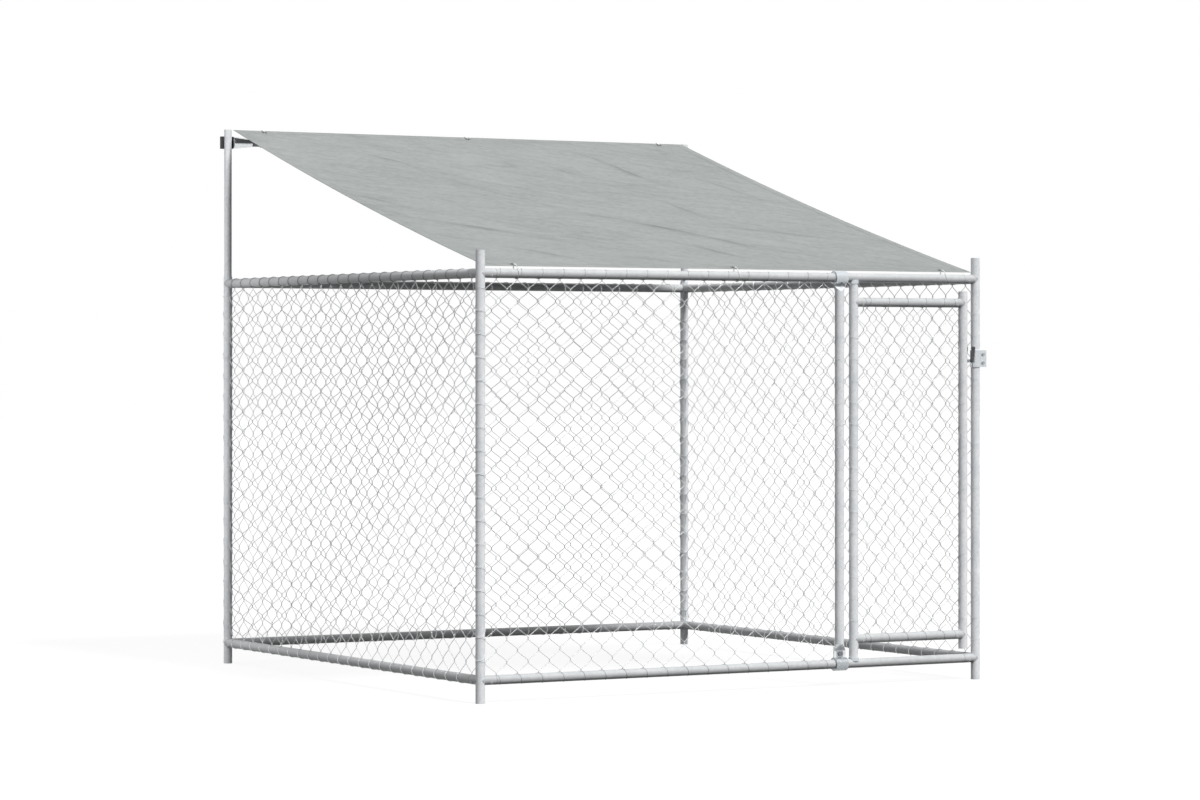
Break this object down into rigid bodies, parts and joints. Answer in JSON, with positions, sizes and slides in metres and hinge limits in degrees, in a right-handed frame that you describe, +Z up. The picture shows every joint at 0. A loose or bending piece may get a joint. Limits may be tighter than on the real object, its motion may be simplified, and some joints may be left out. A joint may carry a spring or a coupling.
{
  "type": "outdoor dog kennel run",
  "caption": "Square outdoor dog run of galvanised tube and chain-link wire, with a hinged door, a fork latch and a sloping sheet roof tied to taller rear masts.",
  "frame": {"origin": "on the ground, at the middle of the four corner post axes", "axes": "+X along the front to the right as seen from outside, +Y to the back, +Z up"},
  "size_m": [2.07, 2.0517, 2.0032],
  "materials": {
    "galvanised_tube": "satin",
    "galvanised_wire": "satin",
    "zinc_fitting": "bright",
    "dark_fastener": "satin",
    "black_plastic": "matte",
    "roof_fabric": "matte",
    "eyelet_metal": "satin",
    "tie_cord": "matte"
  },
  "bodies": {
    "frame": {"front_left_post": "galvanised_tube", "front_right_post": "galvanised_tube", "rear_right_post": "galvanised_tube", "rear_left_post": "galvanised_tube", "left_mast": "galvanised_tube", "right_mast": "galvanised_tube", "front_left_sockets": "galvanised_tube", "front_right_sockets": "galvanised_tube", "rear_right_sockets": "galvanised_tube", "rear_left_sockets": "galvanised_tube", "front_bottom_rail": "galvanised_tube", "right_bottom_rail": "galvanised_tube", "rear_bottom_rail": "galvanised_tube", "left_bottom_rail": "galvanised_tube", "front_top_rail": "galvanised_tube", "right_top_rail": "galvanised_tube", "rear_top_rail": "galvanised_tube", "left_top_rail": "galvanised_tube", "rail_screws": "dark_fastener", "mast_screws": "dark_fastener", "front_net": "galvanised_wire", "right_net": "galvanised_wire", "rear_net": "galvanised_wire", "left_net": "galvanised_wire", "door_post": "galvanised_tube", "door_post_bottom_clamp": "zinc_fitting", "door_post_top_clamp": "zinc_fitting", "clamp_bolts": "dark_fastener", "clamp_nuts": "dark_fastener", "bottom_hinge_pin": "zinc_fitting", "top_hinge_pin": "zinc_fitting", "latch_band": "zinc_fitting", "latch_bolts": "dark_fastener", "latch_nuts": "dark_fastener", "roof_bar": "galvanised_tube", "roof_bar_saddles": "black_plastic", "roof_bar_cups": "zinc_fitting", "saddle_bolts": "dark_fastener", "roof_sheet": "roof_fabric", "eyelets": "eyelet_metal", "edge_ties": "tie_cord"},
    "door": {"door_hinge_stile": "galvanised_tube", "door_latch_stile": "galvanised_tube", "door_sockets": "galvanised_tube", "door_bottom_rail": "galvanised_tube", "door_top_rail": "galvanised_tube", "door_screws": "dark_fastener", "door_net": "galvanised_wire"},
    "latch": {"latch_arms": "zinc_fitting", "latch_pivot": "dark_fastener"}
  },
  "joints": [
    {"name": "door_hinge", "type": "hinge", "parent": "frame", "child": "door", "pos_m": [0.48, -1, 0.75], "axis": [0, 0, -1], "range_deg": [-100, 120]},
    {"name": "latch_fork", "type": "hinge", "parent": "frame", "child": "latch", "pos_m": [0.97, -1, 1.133], "axis": [0, -1, 0], "range_deg": [0, 98]}
  ]
}
